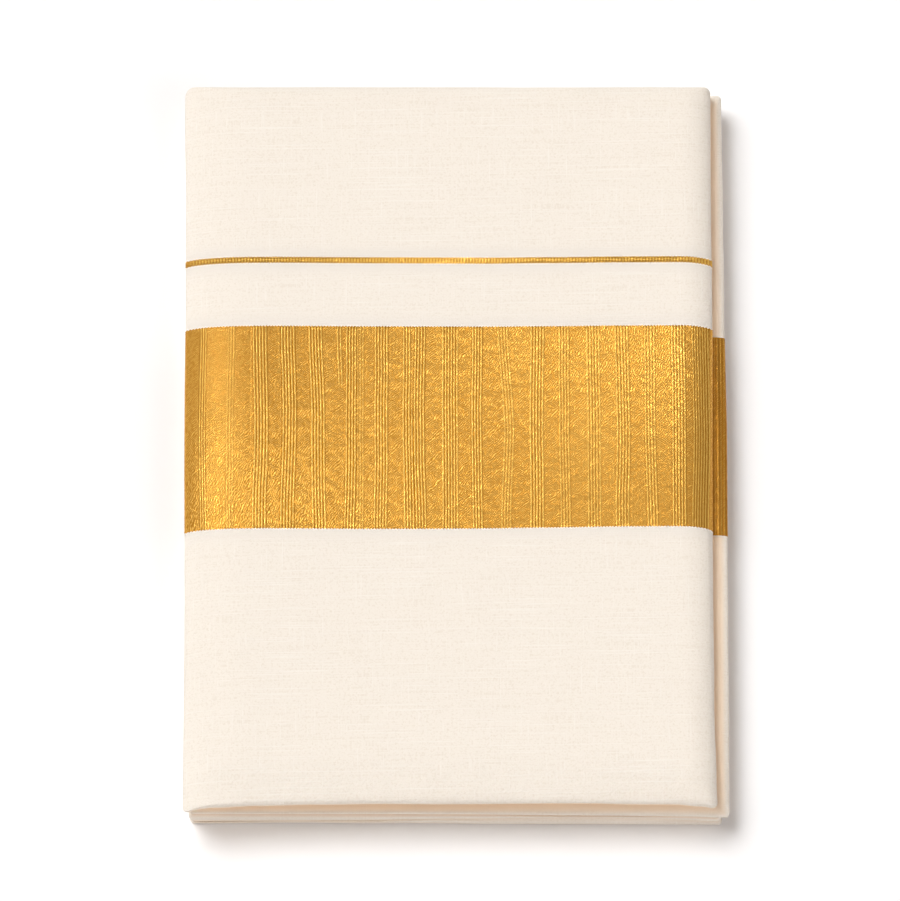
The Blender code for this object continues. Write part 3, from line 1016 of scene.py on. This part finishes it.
def skin_grid(leaf, starts, ends, rows, columns, side=None):
    """A grid over a leaf's skin between two lines, each given by its distance from the back.

    starts and ends are functions of x. It gives the points, how far forward between the
    lines each is, and 1 where it lies on the lip outside them.
    """
    inner = np.linspace(0.0, 1.0, rows)[1:-1]
    edge = np.array(EDGE_ROWS)
    shares = np.concatenate([np.zeros(len(edge)), inner, np.ones(len(edge))])
    moves = np.concatenate([edge, np.zeros(len(inner)), -edge[::-1]])
    lips = np.concatenate([EDGE_LIP, np.zeros(len(inner)), EDGE_LIP[::-1]])
    middle_start = float(starts(np.zeros(1))[0])
    middle_end = float(ends(np.zeros(1))[0])
    reach = 4.0
    distances = np.linspace(middle_start - reach, middle_end + reach, rows)
    base = sheet_rows(leaf, BACK - distances, columns, side)
    x_middle = base[len(base) // 2, :, 0]
    target = lerp(starts(x_middle)[None, :], ends(x_middle)[None, :], shares[:, None])
    target = target + moves[:, None]
    place = (target - distances[0]) / (distances[1] - distances[0])
    row = np.clip(np.floor(place).astype(int), 0, rows - 2)
    share = place - row
    column = np.arange(columns)[None, :]
    flat = lerp(base[row, column], base[row + 1, column], share[..., None])
    x = flat[..., 0]
    z = flat[..., 1]
    y = BACK - target
    grid = np.stack([x, y, z], axis=2)
    if leaf is TOP:
        on_face = z > TOP_HEIGHT - 0.001
        grid[..., 2] = np.where(on_face, top_face_height(x, y), z)
    forward = np.broadcast_to(shares[:, None], x.shape)
    return grid, forward, np.broadcast_to(lips[:, None], x.shape)


def toothed(line, outward):
    """The line with a small tooth where each rib ends."""

    def with_teeth(x):
        return line(x) + outward * TOOTH * np.cos(2 * np.pi * x / RIB_PITCH)

    return with_teeth


def top_band():
    """The wide gold band across the top leaf, with its groups of raised ribs."""
    starts = toothed(band_start, -1)
    ends = toothed(band_end, 1)
    grid, forward, lip = skin_grid(TOP, starts, ends, BAND_ROWS, BAND_COLUMNS)
    relief, valley_shade = rib_relief(grid[..., 0], forward)
    return gold_sheet("top_band", grid, relief, valley_shade, lip, RIB_HEIGHT)


def top_line():
    """The thin gold line across the top leaf, ribbed all along."""
    starts = toothed(line_start, -1)
    ends = toothed(line_end, 1)
    grid, _, lip = skin_grid(TOP, starts, ends, LINE_ROWS, LINE_COLUMNS)
    x = grid[..., 0]
    shown = smooth_step(LEFT + 2.0, LEFT + 6.0, x)
    relief = rib_wave(x) * shown
    valley_shade = LINE_VALLEY_SHADE * (1 - rib_wave(x)) * shown
    return gold_sheet("top_line", grid, relief, valley_shade, lip, LINE_RIB_HEIGHT)


def second_band(side):
    """The second leaf's gold band where it comes out from under the top leaf."""

    def start(x):
        return np.full_like(x, BAND_START + SIDE_BAND_LATER)

    def end(x):
        return np.full_like(x, BAND_START + BAND_WIDTH - SIDE_BAND_SHORTER)

    grid, forward, lip = skin_grid(SECOND, start, end, SIDE_BAND_ROWS, SIDE_BAND_COLUMNS, side)
    x = grid[..., 0]
    patchy = 0.5 + 0.5 * smooth_noise(x, forward * BAND_WIDTH, 3.0, 30.0, 41)
    relief = SIDE_RIBS * patchy * rib_wave(x)
    valley_shade = lerp(SIDE_VALLEY_SHADE, SIDE_CREST_SHADE, rib_wave(x))
    return gold_sheet(f"second_band_{side}", grid, relief, valley_shade, lip, SIDE_RIB_HEIGHT)


# Materials


# Noise over the cloth: its cells across and along in metres, and its turn in degrees
Noise = namedtuple("Noise", "across along detail roughness distortion turn", defaults=(0.0,))
COTTON_GRAIN = Noise(0.00115, 0.00105, 2.0, 0.6, 0.5)
WEFT_ROWS = Noise(0.034, 0.0012, 2.0, 0.4, 0.0, 1.2)
WEFT_GAPS = Noise(0.0012, 0.006, 1.0, 0.5, 0.0)
WEFT_SLUBS = Noise(0.060, 0.00085, 2.0, 0.4, 0.0, 1.0)
WARP_SLUBS = Noise(0.00090, 0.024, 2.0, 0.4, 0.0)
CREPE = Noise(0.0013, 0.0011, 2.0, 0.55, 0.9)
PULLED_THREADS = Noise(0.0030, 0.00080, 2.0, 0.5, 0.4, 42.0)
ZARI_PATCHES = Noise(0.0017, 0.0017, 2.0, 0.5, 0.0)
ZARI_FLECKS = Noise(0.0012, 0.0011, 2.0, 0.55, 1.6)

# Depths of the finest relief, in metres
CREPE_DEPTH = 0.00012
SLUB_DEPTH = 0.00005
ASKEW_DEPTH = 0.00013
GLINT_DEPTH = 0.00008
FLECK_DEPTH = 0.00004

COTTON_PLAIN = (0.827, 0.766, 0.684, 1.0)
COTTON_LIGHT = (0.870, 0.825, 0.755, 1.0)
COTTON_PIT = (0.765, 0.694, 0.600, 1.0)
# Painted shade of the dip beside the gold
COTTON_PAINTED_TROUGH_SHADE = (0.775, 0.722, 0.655, 1.0)
# Painted warm bounce light of the creases
COTTON_PAINTED_CREASE_BOUNCE = (0.950, 0.785, 0.612, 1.0)
# Painted shade of the creases
COTTON_PAINTED_CREASE_SHADE = (0.640, 0.485, 0.345, 1.0)
# Colours of the hammered strokes: the dark ones painted shade, the pale ones painted glints
ZARI_DARK = (0.42, 0.170, 0.012, 1.0)
ZARI_MIDDLE = (0.72, 0.350, 0.046, 1.0)
ZARI_PAINTED_GLINT = (0.91, 0.520, 0.110, 1.0)
# Painted highlight on the rib crests
ZARI_PAINTED_CREST_HIGHLIGHT = (1.0, 0.65, 0.150, 1.0)
# Painted shade in the hollows between the ribs
ZARI_PAINTED_VALLEY_SHADE = (0.36, 0.125, 0.004, 1.0)
ZARI_LIP = (0.870, 0.820, 0.750, 1.0)
ZARI_GLOSS = (1.0, 0.78, 0.45, 1.0)
# The share of metal that shows between the threads
ZARI_METAL = 0.5
FLOOR_COLOUR = (0.92, 0.92, 0.925, 1.0)


class Weave:
    """A material and its nodes, with short ways to add to them."""

    def __init__(self, name):
        self.material = bpy.data.materials.new(name)
        self.material.use_nodes = True
        self.tree = self.material.node_tree

    def fill(self, node, sockets):
        """Links each socket, by name or number, to another, or sets its plain value."""
        for key, value in sockets.items():
            if isinstance(value, bpy.types.NodeSocket):
                self.tree.links.new(value, node.inputs[key])
            else:
                node.inputs[key].default_value = value

    def node(self, kind, sockets, **settings):
        node = self.tree.nodes.new(kind)
        for key, value in settings.items():
            setattr(node, key, value)
        self.fill(node, sockets)
        return node

    def place(self, across, along, turn):
        """The cloth's own coordinates, in units of that many metres and turned."""
        uv = self.node("ShaderNodeUVMap", {}, uv_map="cloth")
        sockets = {
            "Vector": uv.outputs["UV"],
            "Rotation": (0.0, 0.0, math.radians(turn)),
            "Scale": (across, along, 1.0),
        }
        return self.node("ShaderNodeMapping", sockets, vector_type="TEXTURE").outputs["Vector"]

    def noise(self, row):
        sockets = {
            "Vector": self.place(row.across, row.along, row.turn),
            "Scale": 1.0,
            "Detail": row.detail,
            "Roughness": row.roughness,
            "Distortion": row.distortion,
        }
        return self.node("ShaderNodeTexNoise", sockets, noise_dimensions="2D").outputs["Fac"]

    def ranged(self, value, low, high, start=0.0, end=1.0):
        """The value's part from low to high, spread smoothly from start to end."""
        sockets = {
            "Value": value,
            "From Min": low,
            "From Max": high,
            "To Min": start,
            "To Max": end,
        }
        node = self.node("ShaderNodeMapRange", sockets, interpolation_type="SMOOTHSTEP")
        return node.outputs["Result"]

    def mixed(self, share, first, second):
        """A mix of two colours, with that share of the second."""
        sockets = {0: share, 6: first, 7: second}
        return self.node("ShaderNodeMix", sockets, data_type="RGBA").outputs[2]

    def combined(self, operation, first, second):
        return self.node("ShaderNodeMath", {0: first, 1: second}, operation=operation).outputs[0]

    def mark(self, name):
        """A value that the mesh carries at its points."""
        return self.node("ShaderNodeAttribute", {}, attribute_name=name).outputs["Fac"]

    def surfaced(self, sockets, bumps=()):
        """The material, with its surface filled and bumps of (height, depth) one on another."""
        for height, depth in bumps:
            bump_sockets = {"Height": height, "Distance": depth}
            if "Normal" in sockets:
                bump_sockets["Normal"] = sockets["Normal"]
            node = self.node("ShaderNodeBump", bump_sockets)
            sockets = {**sockets, "Normal": node.outputs["Normal"]}
        self.fill(self.tree.nodes["Principled BSDF"], sockets)
        return self.material


def cotton_material():
    """Unbleached handloom cotton: a fine crinkled weave with slubs both ways."""
    weave = Weave("cotton_weave")
    pits = weave.ranged(weave.noise(COTTON_GRAIN), 0.50, 0.74)
    colour = weave.mixed(pits, COTTON_PLAIN, COTTON_PIT)
    rows = weave.ranged(weave.noise(WEFT_ROWS), 0.55, 0.68)
    gaps = weave.ranged(weave.noise(WEFT_GAPS), 0.46, 0.60)
    broken = weave.combined("MULTIPLY", rows, gaps)
    colour = weave.mixed(weave.combined("MULTIPLY", broken, 0.7), colour, COTTON_PIT)
    weft_slubs = weave.ranged(weave.noise(WEFT_SLUBS), 0.59, 0.74)
    warp_slubs = weave.ranged(weave.noise(WARP_SLUBS), 0.62, 0.80)
    slubs = weave.combined("MAXIMUM", weft_slubs, warp_slubs)
    colour = weave.mixed(weave.combined("MULTIPLY", slubs, 0.55), colour, COTTON_LIGHT)
    # Painted shade of the dip beside the gold
    colour = weave.mixed(weave.mark("trough_shade_paint"), colour, COTTON_PAINTED_TROUGH_SHADE)
    # Painted warm bounce light in the creases
    colour = weave.mixed(weave.mark("crease_bounce_paint"), colour, COTTON_PAINTED_CREASE_BOUNCE)
    # Painted shade in the creases
    colour = weave.mixed(weave.mark("crease_shade_paint"), colour, COTTON_PAINTED_CREASE_SHADE)
    pulled = weave.ranged(weave.noise(PULLED_THREADS), 0.3, 0.7)
    askew = weave.combined("MULTIPLY", pulled, weave.mark("strained"))
    sockets = {
        "Base Color": colour,
        "Roughness": 0.9,
        "Specular IOR Level": 0.2,
        "Sheen Weight": 0.08,
        "Sheen Roughness": 0.5,
    }
    bumps = ((weave.noise(CREPE), CREPE_DEPTH), (slubs, SLUB_DEPTH), (askew, ASKEW_DEPTH))
    return weave.surfaced(sockets, bumps)


def zari_material():
    """Gold zari, part metal: hammered between its ribs with painted glints, painted bright on
    the ribs as a highlight, and a painted shaded orange in the hollows between them.
    """
    weave = Weave("zari_weave")
    hammer_blows = {
        "Vector": weave.place(0.001, 0.001, 90.0),
        "Scale": 0.46,
        "Distortion": 10.0,
        "Detail": 1.0,
        "Detail Scale": 0.42,
        "Detail Roughness": 0.5,
    }
    hammered = weave.node(
        "ShaderNodeTexWave", hammer_blows, wave_type="BANDS", bands_direction="DIAGONAL"
    )
    patches = weave.ranged(weave.noise(ZARI_PATCHES), 0.35, 0.6, 0.4, 1.0)
    # The hammered strokes are real bumps, and their colour is painted too: pale strokes as painted
    # glints, dark ones as painted shade
    glint = weave.combined("MULTIPLY", hammered.outputs["Fac"], patches)
    colour = weave.mixed(glint, ZARI_DARK, ZARI_PAINTED_GLINT)
    colour = weave.mixed(0.08, colour, ZARI_MIDDLE)
    # Painted highlight on the rib crests, by the ribs' height
    crest_highlight = weave.combined("MULTIPLY", weave.mark("ribs"), 0.8)
    colour = weave.mixed(crest_highlight, colour, ZARI_PAINTED_CREST_HIGHLIGHT)
    # Painted shade in the hollows between the ribs
    colour = weave.mixed(weave.mark("valley_shade"), colour, ZARI_PAINTED_VALLEY_SHADE)
    lip = weave.ranged(weave.mark("lip"), 0.45, 0.55)
    sockets = {
        "Base Color": weave.mixed(lip, colour, ZARI_LIP),
        "Roughness": weave.ranged(lip, 0.0, 1.0, 0.25, 0.9),
        "Metallic": weave.ranged(lip, 0.0, 1.0, ZARI_METAL, 0.0),
        "Specular Tint": ZARI_GLOSS,
        "Specular IOR Level": 0.2,
    }
    bumps = ((glint, GLINT_DEPTH), (weave.noise(ZARI_FLECKS), FLECK_DEPTH))
    return weave.surfaced(sockets, bumps)


def floor_material():
    sockets = {"Base Color": FLOOR_COLOUR, "Roughness": 0.9, "Specular IOR Level": 0.1}
    return Weave("pale_table").surfaced(sockets)


# Table, lights and camera

FLOOR_SIDE = 6.0
FLOOR_DROP = 0.0001
Lamp = namedtuple("Lamp", "name height turn spread strength colour on_matt on_shine")
WHITE = (1.0, 1.0, 1.0)
WARM = (1.0, 0.93, 0.905)
# Soft suns: height in degrees, turn from straight behind towards the left, and spread, then
# whether they light what is matt, and whether they are mirrored in what shines. The gold ones
# are mirrored only, each for a tilt of the gold or for a side that it is seen from.
LAMPS = table(
    Lamp,
    ("key", 57.0, 51.0, 37.0, 2.78, WHITE, True, False),
    ("left_fill", 35.0, 95.0, 34.0, 0.37, WARM, True, False),
    ("front_fill", 35.0, -130.0, 34.0, 0.78, WARM, True, False),
    ("high_right", 60.0, -90.0, 30.0, 0.17, WARM, True, False),
    ("low_front", 8.0, 180.0, 30.0, 0.48, WARM, True, False),
    ("gold_even", 62.0, 180.0, 30.0, 1.9, WHITE, False, True),
    ("gold_left", 63.5, 32.0, 9.0, 0.52, WHITE, False, True),
    ("gold_low", 25.0, 65.0, 50.0, 0.26, WHITE, False, True),
    ("gold_right", 40.0, -55.0, 60.0, 0.18, WHITE, False, True),
)
# A soft box close above the right half, mirrored in the gold there
SoftBox = namedtuple("SoftBox", "place target side power")
SOFT_BOX = SoftBox((0.13, 0.24, 0.62), (0.12, 0.0, 0.03), 0.16, 0.27)
SKY_COLOUR = (1.0, 0.95, 0.89, 1.0)
SKY_STRENGTH = 0.15

CAMERA_ELEVATION = 68.0
CAMERA_DISTANCE = 9.5
CAMERA_TARGET = (-0.0028, 0.0012, 0.015)
CAMERA_FOCAL_MM = 738.0
CAMERA_REACH = 40.0


def add_floor():
    side = FLOOR_SIDE / 2
    mesh = bpy.data.meshes.new("table")
    corners = [(-side, -side, 0), (side, -side, 0), (side, side, 0), (-side, side, 0)]
    mesh.from_pydata(corners, [], [(0, 1, 2, 3)])
    floor = bpy.data.objects.new("table", mesh)
    floor.location.z = -FLOOR_DROP
    mesh.materials.append(floor_material())
    bpy.context.scene.collection.objects.link(floor)


def aim(thing, place, target):
    """Puts a lamp or camera at a place, looking at the target."""
    thing.location = place
    way = np.array(target) - np.array(place)
    level = math.hypot(way[0], way[1])
    thing.rotation_euler = (
        math.atan2(level, -way[2]),
        0.0,
        math.atan2(way[1], way[0]) - math.pi / 2,
    )


def add_sun(lamp):
    turn = math.radians(90 + lamp.turn)
    height = math.radians(lamp.height)
    place = (
        math.cos(turn) * math.cos(height),
        math.sin(turn) * math.cos(height),
        math.sin(height),
    )
    light = bpy.data.lights.new(lamp.name, "SUN")
    light.energy = lamp.strength
    light.color = lamp.colour
    light.angle = math.radians(lamp.spread)
    sun = bpy.data.objects.new(lamp.name, light)
    sun.visible_diffuse = lamp.on_matt
    sun.visible_glossy = lamp.on_shine
    bpy.context.scene.collection.objects.link(sun)
    aim(sun, place, (0.0, 0.0, 0.0))


def add_soft_box(box):
    light = bpy.data.lights.new("gold_box", "AREA")
    light.energy = box.power
    light.size = box.side
    lamp = bpy.data.objects.new("gold_box", light)
    lamp.visible_diffuse = False
    bpy.context.scene.collection.objects.link(lamp)
    aim(lamp, box.place, box.target)


def add_lights():
    for lamp in LAMPS:
        add_sun(lamp)
    add_soft_box(SOFT_BOX)
    world = bpy.data.worlds.new("studio")
    world.use_nodes = True
    backdrop = world.node_tree.nodes["Background"]
    backdrop.inputs["Color"].default_value = SKY_COLOUR
    backdrop.inputs["Strength"].default_value = SKY_STRENGTH
    bpy.context.scene.world = world
    bpy.context.scene.view_settings.view_transform = "Standard"


def add_camera():
    elevation = math.radians(CAMERA_ELEVATION)
    target = np.array(CAMERA_TARGET)
    place = target + CAMERA_DISTANCE * np.array(
        [0.0, -math.cos(elevation), math.sin(elevation)]
    )
    camera = bpy.data.cameras.new("camera")
    camera.lens = CAMERA_FOCAL_MM
    camera.clip_end = CAMERA_REACH
    eye = bpy.data.objects.new("camera", camera)
    bpy.context.scene.collection.objects.link(eye)
    aim(eye, tuple(place), CAMERA_TARGET)
    bpy.context.scene.camera = eye


def dress(piece, material, slot, *nodes):
    """Gives a piece its material, hangs it on the root body, and hides the model's parts that it
    stands for.
    """
    piece.data.materials.append(material)
    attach(piece, "root")
    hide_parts(*nodes)
    return piece


def main():
    cotton = cotton_material()
    zari = zari_material()
    top_stations = perimeter(*TOP_STEPS)
    leaf_stations = perimeter(*LEAF_STEPS)

    folds = dress(hidden_folds(perimeter(*FOLDS_STEPS)), cotton, "cotton", "hidden_layers")

    bottom = wrapped_shell("bottom_cloth", BOTTOM, leaf_stations, True, False)
    dress(bottom, cotton, "cotton", "bottom_leaf")

    third = wrapped_shell("third_cloth", THIRD, leaf_stations, True, True)
    dress(third, cotton, "cotton", "third_leaf")

    second = wrapped_shell("second_cloth", SECOND, leaf_stations, True, True)
    dress(second, cotton, "cotton", "second_leaf_plain_back", "second_leaf_plain_front")
    for side in ("right", "left"):
        dress(second_band(side), zari, "kasavu", f"second_leaf_band_{side}")

    top = top_cloth(top_stations)
    plain = ("top_leaf_plain_back", "top_leaf_plain_between", "top_leaf_plain_front")
    dress(top, cotton, "cotton", *plain)
    band = dress(top_band(), zari, "kasavu", "top_leaf_band")
    line = dress(top_line(), zari, "kasavu", "top_leaf_thin_line")

    add_floor()
    add_lights()
    add_camera()


main()
